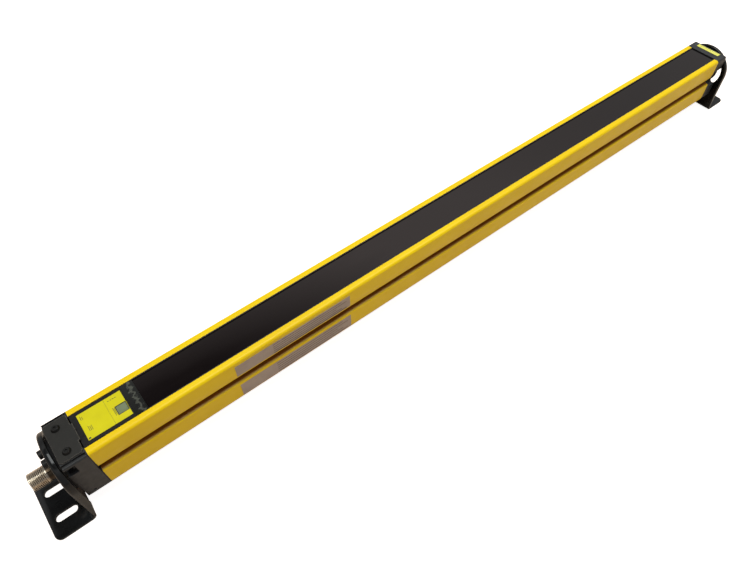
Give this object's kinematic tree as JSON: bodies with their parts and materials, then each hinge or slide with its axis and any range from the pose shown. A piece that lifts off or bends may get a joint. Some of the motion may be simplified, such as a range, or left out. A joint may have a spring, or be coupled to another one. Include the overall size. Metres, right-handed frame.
{
  "type": "safety light curtain",
  "caption": "Sensor bar of a safety light curtain: a yellow grooved housing with a dark window, black end caps, a round connector and two swivel end brackets.",
  "frame": {"origin": "under the middle of the housing, on the plane of the brackets' feet", "axes": "+X along the housing from the connector end to the far end, +Z out of the window, +Y to the back"},
  "size_m": [0.7312, 0.048, 0.0645],
  "materials": {
    "yellow_paint": "satin",
    "window_filter": "gloss",
    "black_moulding": "matte",
    "smoked_moulding": "gloss",
    "lamp_lens": "gloss",
    "label_film": "satin",
    "grey_label": "satin",
    "display_pane": "gloss",
    "circuit_board": "satin",
    "brass_post": "satin",
    "switch_body": "satin",
    "optics_moulding": "matte",
    "clear_lens": "gloss",
    "diode_resin": "gloss",
    "header_moulding": "satin",
    "lead_jacket": "matte",
    "black_casting": "satin",
    "black_steel": "satin",
    "zinc_screw": "satin",
    "black_screw": "satin",
    "nickel": "polished",
    "insert_moulding": "matte",
    "gold_contact": "polished",
    "seal_rubber": "matte"
  },
  "bodies": {
    "housing": {"housing_extrusion": "yellow_paint", "window": "window_filter", "window_seals": "seal_rubber", "access_cover": "black_moulding", "face_label": "label_film", "display_window": "display_pane", "display_board": "circuit_board", "display_posts": "brass_post", "switch_bank": "switch_body", "status_block": "smoked_moulding", "status_lamps": "lamp_lens", "optics_block": "optics_moulding", "lens_array": "clear_lens", "circuit_board": "circuit_board", "beam_diodes": "diode_resin", "board_header": "header_moulding", "inner_lead": "lead_jacket", "near_end_cap": "black_casting", "near_gasket": "seal_rubber", "near_cap_screws": "zinc_screw", "guard_plate": "black_steel", "guard_screws": "black_screw", "connector_shell": "nickel", "connector_insert": "insert_moulding", "connector_pins": "gold_contact", "connector_seal": "seal_rubber", "connector_retaining_ring": "zinc_screw", "near_clamp_screws": "black_screw", "far_end_cap": "black_casting", "far_cap_label": "label_film", "far_gasket": "seal_rubber", "far_cap_screws": "zinc_screw", "far_clamp_screws": "black_screw", "upper_side_label": "grey_label", "lower_side_label": "grey_label"},
    "near_bracket": {"near_bracket": "black_steel"},
    "far_bracket": {"far_bracket": "black_steel"}
  },
  "joints": [
    {"name": "near_bracket_swivel", "type": "hinge", "parent": "housing", "child": "near_bracket", "pos_m": [-0.34, 0, 0.0394], "axis": [1, 0, 0], "range_deg": [-17, 17]},
    {"name": "far_bracket_swivel", "type": "hinge", "parent": "housing", "child": "far_bracket", "pos_m": [0.34, 0, 0.0394], "axis": [1, 0, 0], "range_deg": [-17, 17]}
  ]
}
